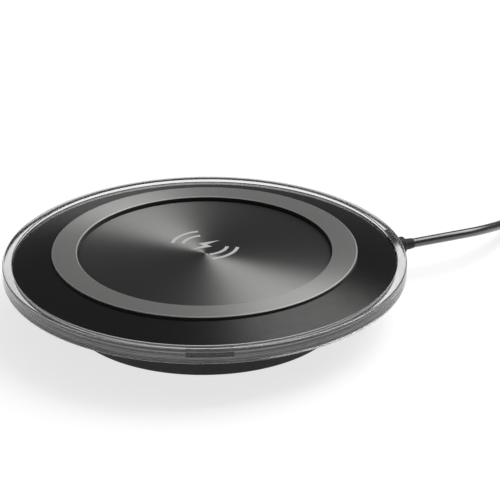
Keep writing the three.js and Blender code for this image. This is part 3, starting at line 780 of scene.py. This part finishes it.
def clear_rim(smoked):
    """A clear ring, lined where it faces the cover and smoked in front of the window; the lining's
    light bands are painted reflections.
    """
    outer = RIM_HIGH.x
    inner = outer - RIM_WIDTH
    top = RIM_HIGH.z
    bottom = RIM_LOW.z
    inner_centre = inner + RIM_INNER_ROUND
    outline = [
        *arc(inner_centre, bottom + RIM_INNER_ROUND, RIM_INNER_ROUND, 180, 270, TINY_ROUND_STEPS),
        *arc(outer - RIM_FOOT_ROUND, bottom + RIM_FOOT_ROUND, RIM_FOOT_ROUND, -90, 0),
        *arc(outer - RIM_TOP_ROUND, top - RIM_TOP_ROUND, RIM_TOP_ROUND, 0, 90),
        *arc(inner_centre, top - RIM_INNER_ROUND, RIM_INNER_ROUND, 90, 180, TINY_ROUND_STEPS),
        *[(inner, level) for level in (COVER_EDGE, WINDOW_HIGH.z, *CLEAR_LINE, WINDOW_LOW.z)],
    ]
    piece = turned_piece("rim", outline, clear_acrylic(), closed=True)
    # The lining is dark, with light bands painted on it as reflections seen through the rim.
    piece.data.materials.append(rim_lining_and_painted_reflections())
    piece.data.materials.append(smoked)
    for face in piece.data.polygons:
        spot = face.center
        if spot.xy.length < inner + LINING_REACH and spot.z < COVER_EDGE:
            face.material_index = lining_of(spot)
    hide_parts("clear_rim")


def dome_outline():
    """From the cover's edge up to the seat of the grip ring, bowed up by the crown."""
    outer = COVER_HIGH.x - COVER_EDGE_ROUND
    inner = RING_HIGH.x + SEAT_GAP
    rise = COVER_HIGH.z - COVER_EDGE
    points = []
    for i in range(DOME_STEPS + 1):
        t = i / DOME_STEPS
        bow = 4 * DOME_CROWN * t * (1 - t)
        points.append((outer + (inner - outer) * t, COVER_EDGE + rise * t + bow))
    return points


def top_cover():
    """A gloss skin with a seat for the ring, screw bosses below and a slot in its skirt."""
    radius = COVER_HIGH.x
    skirt_inner = radius - COVER_WALL
    seat_radius = RING_HIGH.x + SEAT_GAP
    edge_centre = (radius - COVER_EDGE_ROUND, COVER_EDGE - COVER_EDGE_ROUND)
    outline = [
        (0, COVER_UNDERSIDE),
        (seat_radius - COVER_WALL / 2, COVER_UNDERSIDE),
        (seat_radius + COVER_WALL, COVER_HIGH.z - COVER_WALL),
        (skirt_inner, COVER_EDGE - COVER_WALL / 2),
        (skirt_inner, SKIRT_BOTTOM),
        (radius, SKIRT_BOTTOM),
        *arc(*edge_centre, COVER_EDGE_ROUND, 0, EDGE_TURN, SMALL_ROUND_STEPS),
        *dome_outline(),
        (seat_radius, SEAT_LEVEL),
        (0, SEAT_LEVEL),
    ]
    piece = turned_piece("gloss_cover", outline, gloss_black())
    places = around_pad(CASE_SCREWS, SCREW_CIRCLE)
    bosses = bmesh.new()
    for place in places:
        add_post(bosses, BOSS_RADIUS, COVER_BOSS_BOTTOM, COVER_UNDERSIDE + COVER_WALL / 2, place)
    reshape(piece, "UNION", bosses)
    holes = bmesh.new()
    for place in places:
        add_post(holes, SHANK_HOLE, COVER_BOSS_BOTTOM - OVERRUN, COVER_UNDERSIDE - LAYER_GAP, place)
    window = WINDOW_HIGH - WINDOW_LOW + Vector((2 * SEAT_GAP, 2 * OVERRUN, 2 * SEAT_GAP))
    add_block(holes, (WINDOW_HIGH + WINDOW_LOW - window) / 2, window)
    reshape(piece, "DIFFERENCE", holes)
    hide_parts("top_cover")


def grip_ring():
    """A satin ring with a painted highlight along each upper edge and painted shade on its sides and
    underside.
    """
    outer = RING_HIGH.x
    inner = outer - RING_WIDTH
    outline = [
        (inner, RING_LOW.z),
        (outer, RING_LOW.z),
        *arc(outer - RING_ROUND, RING_HIGH.z - RING_ROUND, RING_ROUND, 0, 90),
        *arc(inner + RING_ROUND, RING_HIGH.z - RING_ROUND, RING_ROUND, 90, 180),
    ]
    piece = turned_piece("phone_ring", outline, grip_ring_finish(), closed=True)
    # Painted highlight: a bright material along the upper edges stands in for the glint of light on
    # them.
    piece.data.materials.append(painted_edge_highlight())
    # Painted shade: a near-black material on the sides and underside stands in for the shade beside
    # and below the ring.
    piece.data.materials.append(soft_rubber("ring's painted shade", 0.008, 0.016, 0.7))
    for face in piece.data.polygons:
        depth = RING_HIGH.z - face.center.z
        # Faces below the highlight band take the painted shade; faces within it take the painted
        # highlight.
        if depth > HIGHLIGHT_BAND[1]:
            face.material_index = PAINTED_SHADE
        elif depth > HIGHLIGHT_BAND[0]:
            face.material_index = PAINTED_HIGHLIGHT
    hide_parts("grip_ring")


def add_slab(shape, corners, bottom, thickness):
    """A flat shape of the given corners, raised to a thickness."""
    face = shape.faces.new([shape.verts.new((x, y, bottom)) for x, y in corners])
    raised = bmesh.ops.extrude_face_region(shape, geom=[face])
    tops = [part for part in raised["geom"] if isinstance(part, bmesh.types.BMVert)]
    bmesh.ops.translate(shape, vec=(0, 0, thickness), verts=tops)


def add_mark(shape, level):
    """A plain lightning bolt between two pairs of arcs."""
    half = BOLT_HEIGHT / 2
    bolt = [(end * half * x, end * half * y) for end in (1, -1) for x, y in BOLT_CORNERS]
    before = set(shape.verts)
    add_slab(shape, bolt, level, MARK_THICKNESS)
    for side in (0, pi):
        for radius in ARC_RADII:
            inner = radius - ARC_WIDTH / 2
            outer = radius + ARC_WIDTH / 2
            turns = [side + ARC_HALF_ANGLE * (2 * i / ARC_STEPS - 1) for i in range(ARC_STEPS + 1)]
            band = [(outer * cos(turn), outer * sin(turn)) for turn in turns]
            band += [(inner * cos(turn), inner * sin(turn)) for turn in reversed(turns)]
            add_slab(shape, band, level, MARK_THICKNESS)
    added = [vert for vert in shape.verts if vert not in before]
    turn = Matrix.Rotation(MARK_ANGLE, 4, "Z")
    bmesh.ops.transform(shape, matrix=turn, verts=added)
    bmesh.ops.translate(shape, vec=MARK_CENTRE, verts=added)
    return {face for vert in added for face in vert.link_faces}


def centre_plate():
    """A thin disc with a bevelled edge and the printed mark on it."""
    radius = PLATE_HIGH.x
    top = PLATE_HIGH.z
    outline = [
        (0, PLATE_LOW.z),
        (radius, PLATE_LOW.z),
        *arc(radius - PLATE_BEVEL, top - PLATE_BEVEL, PLATE_BEVEL, 0, 90, SMALL_ROUND_STEPS),
        (radius / 2, top),
        (0, top),
    ]
    shape = bmesh.new()
    add_turned(shape, outline)
    for face in add_mark(shape, top):
        face.material_index = PRINTED
    piece = make_piece("spun_plate", shape, spun_plate())
    piece.data.materials.append(printed_mark())
    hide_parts("centre_plate")


def foot_ring():
    """A flat rubber ring, let into the underside."""
    outer = FOOT_HIGH.x
    inner = outer - FOOT_RING_WIDTH
    round_level = FOOT_LOW.z + FOOT_RING_ROUND
    outline = [
        (inner, FOOT_HIGH.z),
        *arc(inner + FOOT_RING_ROUND, round_level, FOOT_RING_ROUND, 180, 270, SMALL_ROUND_STEPS),
        *arc(outer - FOOT_RING_ROUND, round_level, FOOT_RING_ROUND, -90, 0, SMALL_ROUND_STEPS),
        (outer, FOOT_HIGH.z),
    ]
    rubber = soft_rubber("foot rubber", 0.012, 0.022, 0.85)
    piece = turned_piece("foot_pad_ring", outline, rubber, closed=True)
    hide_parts("foot_ring")


def housing_outline():
    """The lower shell in section: floor with a groove for the foot, wall and flange."""
    low, high = SHELL_LOW.z, SHELL_HIGH.z
    inner_wall = FOOT_RADIUS - SHELL_WALL
    groove_outer = FOOT_HIGH.x + SEAT_GAP
    groove_inner = FOOT_HIGH.x - FOOT_RING_WIDTH - SEAT_GAP
    edge = SHELL_HIGH.x - FLANGE_ROUND
    return [
        (0, low),
        (groove_inner, low),
        (groove_inner, GROOVE_LEVEL),
        (groove_outer, GROOVE_LEVEL),
        (groove_outer, low),
        *arc(FOOT_RADIUS - FOOT_ROUND, low + FOOT_ROUND, FOOT_ROUND, -90, 0),
        (FOOT_RADIUS, FLANGE_BOTTOM),
        *arc(edge, FLANGE_BOTTOM + FLANGE_ROUND, FLANGE_ROUND, -90, 0, TINY_ROUND_STEPS),
        (SHELL_HIGH.x, high),
        (inner_wall, high),
        (inner_wall, FLOOR_TOP),
        (0, FLOOR_TOP),
    ]


def beside_lead(along, across):
    """The (x, y) place this far along the lead's line from the centre, and across it."""
    side = Vector((-EXIT_WAY.y, EXIT_WAY.x, 0.0))
    return (EXIT_WAY * along + side * across).xy


def housing_posts(case_places, board_places, clamp_places):
    """Everything that stands on the floor: screw bosses, posts and the lead's saddle."""
    root = FLOOR_TOP - ROOT_DEPTH
    shape = bmesh.new()
    half_width = CORD_RADIUS + PART_GAP
    saddle_top = CORD_LEVEL - CORD_RADIUS - PART_GAP
    saddle = add_block(
        shape,
        Vector((CLAMP_PLACE - SADDLE_LENGTH / 2, -half_width, root)),
        Vector((SADDLE_LENGTH, 2 * half_width, saddle_top - root)),
    )
    bmesh.ops.rotate(shape, matrix=Matrix.Rotation(CORD_AZIMUTH, 3, "Z"), verts=saddle)
    for place in case_places:
        add_post(shape, BOSS_RADIUS, root, BOSS_TOP, place)
    for place in board_places:
        add_post(shape, POST_RADIUS, root, BOARD_LOW.z - LAYER_GAP, place)
    for place in clamp_places:
        add_post(shape, POST_RADIUS, root, CLAMP_POST_TOP, place)
    return shape


def housing_holes(case_places, board_places, clamp_places):
    """Stepped holes for the case screws, blind holes in the posts and the lead's way out."""
    shape = bmesh.new()
    top = BOSS_TOP + OVERRUN
    stepped = [
        (0, 0),
        (HEAD_HOLE, 0),
        (HEAD_HOLE, HEAD_SEAT),
        (SHANK_HOLE, HEAD_SEAT),
        (SHANK_HOLE, top),
        (0, top),
    ]
    neck_hole = NECK_RADIUS + PART_GAP
    add_post(shape, neck_hole, FOOT_RADIUS - SHELL_WALL - OVERRUN, FOOT_RADIUS + OVERRUN, (0, 0))
    along_lead(shape, shape.verts)
    for place in case_places:
        add_turned(shape, stepped, steps=SMALL_STEPS, centre=Vector((*place, 0)))
    for place in board_places:
        add_post(shape, POST_HOLE, FLOOR_TOP + PART_GAP, BOARD_HIGH.z, place)
    for place in clamp_places:
        add_post(shape, POST_HOLE, CORD_LEVEL - 2 * CORD_RADIUS, CLAMP_POST_TOP + OVERRUN, place)
    return shape


def base_housing(material):
    """The lower shell with its posts, and the holes for screws and lead."""
    piece = turned_piece("base_housing", housing_outline(), material)
    places = (
        around_pad(CASE_SCREWS, SCREW_CIRCLE),
        around_pad(BOARD_SCREWS, BOARD_SCREW_CIRCLE),
        [beside_lead(CLAMP_PLACE, side * CLAMP_SPREAD) for side in (-1, 1)],
    )
    reshape(piece, "UNION", housing_posts(*places))
    reshape(piece, "DIFFERENCE", housing_holes(*places))
    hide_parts("base_shell")


# ---- Tie and plug ------------------------------------------------------------------------------


def tie_outline(outset):
    """The strap's loop in section across the coil, this far outside its inner face."""
    inner = sqrt((COIL_INNER - CORD_RADIUS) ** 2 - (TIE_WIDTH / 2) ** 2) - PART_GAP
    outer = COIL_OUTER + CORD_RADIUS + PART_GAP
    top = COIL_LEVELS[1] + CORD_RADIUS + PART_GAP
    low = (inner - outset, TIE_BOTTOM - outset)
    return rounded_box(low, (outer + outset, top + outset), TIE_ROUND + outset)


def lead_strap():
    """A band of hook-and-loop tape round the coil, with softened edges."""
    half = TIE_WIDTH / 2
    rings = [
        (-half, tie_outline(TIE_BEVEL)),
        (-half, tie_outline(TIE_THICKNESS - TIE_BEVEL)),
        (TIE_BEVEL - half, tie_outline(TIE_THICKNESS)),
        (half - TIE_BEVEL, tie_outline(TIE_THICKNESS)),
        (half, tie_outline(TIE_THICKNESS - TIE_BEVEL)),
        (half, tie_outline(TIE_BEVEL)),
        (half - TIE_BEVEL, tie_outline(0)),
        (TIE_BEVEL - half, tie_outline(0)),
    ]
    shape = bmesh.new()
    add_sleeve(shape, rings)
    turn = Matrix.Translation(COIL_CENTRE) @ Matrix.Rotation(TIE_AZIMUTH - pi / 2, 4, "Z")
    bmesh.ops.transform(shape, matrix=turn, verts=shape.verts)
    piece = make_piece("lead_strap", shape, woven_tape())
    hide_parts("lead_tie")
    return piece


def neck_outline():
    """A tapered neck with ribs that let it bend."""
    pitch = NECK_LENGTH / NECK_RIBS
    outline = [(0, -NECK_LENGTH)]
    for i in range(NECK_RIBS):
        start = i * pitch - NECK_LENGTH
        radius = NECK_TIP + (NECK_ROOT - NECK_TIP) * i / NECK_RIBS
        rib_end, groove_start, groove_end = [start + pitch * part for part in RIB_SHAPE]
        outline += [
            (radius, start),
            (radius + RIB_DEPTH / 2, rib_end),
            (radius - RIB_DEPTH / 2, groove_start),
            (radius - RIB_DEPTH / 2, groove_end),
        ]
    return outline + [(NECK_ROOT, 0), (NECK_ROOT, PLUG_ROUND), (0, PLUG_ROUND)]


def plug_casing(material):
    """A rounded moulding with a ribbed neck."""
    shape = bmesh.new()
    add_block(shape, Vector((0, -PLUG_SIZE.y / 2, -PLUG_SIZE.z / 2)), PLUG_SIZE)
    bmesh.ops.bevel(
        shape, geom=shape.edges[:], offset=PLUG_ROUND, segments=PLUG_SEGMENTS,
        profile=0.5, affect="EDGES",
    )
    bmesh.ops.transform(shape, matrix=PLUG_PLACE, verts=shape.verts)
    piece = make_piece("plug_casing", shape, material)
    neck = bmesh.new()
    add_turned(neck, neck_outline(), steps=SMALL_STEPS)
    bmesh.ops.transform(neck, matrix=PLUG_PLACE @ Matrix.Rotation(pi / 2, 4, "Y"), verts=neck.verts)
    reshape(piece, "UNION", neck)
    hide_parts("plug_body")
    return piece


def connector_outline(inset):
    """The connector's rounded section, this far inside its outer face."""
    half = (CONNECTOR_SIZE.y / 2 - inset, CONNECTOR_SIZE.z / 2 - inset)
    return rounded_box((-half[0], -half[1]), half, CONNECTOR_ROUND - inset)


def connector_shell():
    """A folded steel tube with two latch windows in each wide face."""
    end = CONNECTOR_START + CONNECTOR_SIZE.x
    shape = bmesh.new()
    add_sleeve(shape, [
        (CONNECTOR_START, connector_outline(0)),
        (end, connector_outline(0)),
        (end, connector_outline(CONNECTOR_WALL)),
        (CONNECTOR_START, connector_outline(CONNECTOR_WALL)),
    ])
    bmesh.ops.transform(shape, matrix=PLUG_PLACE, verts=shape.verts)
    steel = plated_metal("nickel-plated steel", grey(0.62), grey(0.78), 0.24)
    piece = make_piece("connector_shell", shape, steel)
    windows = bmesh.new()
    for side in (-1, 1):
        middle = side * LATCH_SPACING / 2
        low = Vector((CONNECTOR_START + LATCH_START, middle - LATCH_SIZE.y / 2, -LATCH_SIZE.z / 2))
        add_block(windows, low, LATCH_SIZE)
    bmesh.ops.transform(windows, matrix=PLUG_PLACE, verts=windows.verts)
    reshape(piece, "DIFFERENCE", windows)
    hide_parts("plug_shell")
    return piece


# ---- Inner pieces ------------------------------------------------------------------------------


def finish_inner_nodes(smoked, matte, jacket):
    """Gives every piece kept from the frame its own detailed material, by its slot's name."""
    finishes = {
        "smoked_window": smoked,
        "matte_black": matte,
        "cord_black": jacket,
        "steel": plated_metal("zinc-plated steel", grey(0.45), grey(0.66), 0.32),
        "adhesive": moulded("adhesive film", (0.60, 0.57, 0.48), (0.76, 0.73, 0.64), 0.75),
        "copper": wound_copper(),
        "ferrite": moulded("pressed ferrite", grey(0.016), grey(0.04), 0.7),
        "board_green": solder_mask(),
        "chip_black": moulded("chip resin", grey(0.010), grey(0.022), 0.5),
        "light_white": moulded("diffusing resin", (0.75, 0.75, 0.68), (0.88, 0.88, 0.82), 0.3),
        "ceramic_tan": moulded("fired ceramic", (0.30, 0.20, 0.10), (0.46, 0.33, 0.18), 0.5),
        "wire_black": moulded("black wire sleeve", grey(0.008), grey(0.016), 0.45),
        "wire_red": moulded("red wire sleeve", (0.34, 0.010, 0.008), (0.52, 0.022, 0.016), 0.45),
        "tongue_white": moulded("white nylon", (0.68, 0.68, 0.64), (0.80, 0.80, 0.76), 0.5),
        "contact_gold": plated_metal("gilt contact", (0.70, 0.42, 0.11), (0.90, 0.60, 0.20), 0.26),
    }
    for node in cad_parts.values():
        for place in node.material_slots:
            if place.material.name in finishes:
                place.material = finishes[place.material.name]


# ---- Main --------------------------------------------------------------------------------------

set_camera()
lay_floor()
light_the_scene()

smoked = smoked_window()
matte = matte_black()
jacket = cord_jacket()

clear_rim(smoked)
top_cover()
grip_ring()
centre_plate()
base_housing(matte)
foot_ring()

lead = lay_cord(jacket)
sleeve_rubber = soft_rubber("sleeve rubber", 0.006, 0.011, 0.6)
going_with = [strain_relief(sleeve_rubber), lead_strap(), plug_casing(jacket), connector_shell()]
going_with += ["plug_tongue"]
going_with += [f"plug_contact_{i}" for i in (1, 2, 3, 4)]
finish_inner_nodes(smoked, matte, jacket)
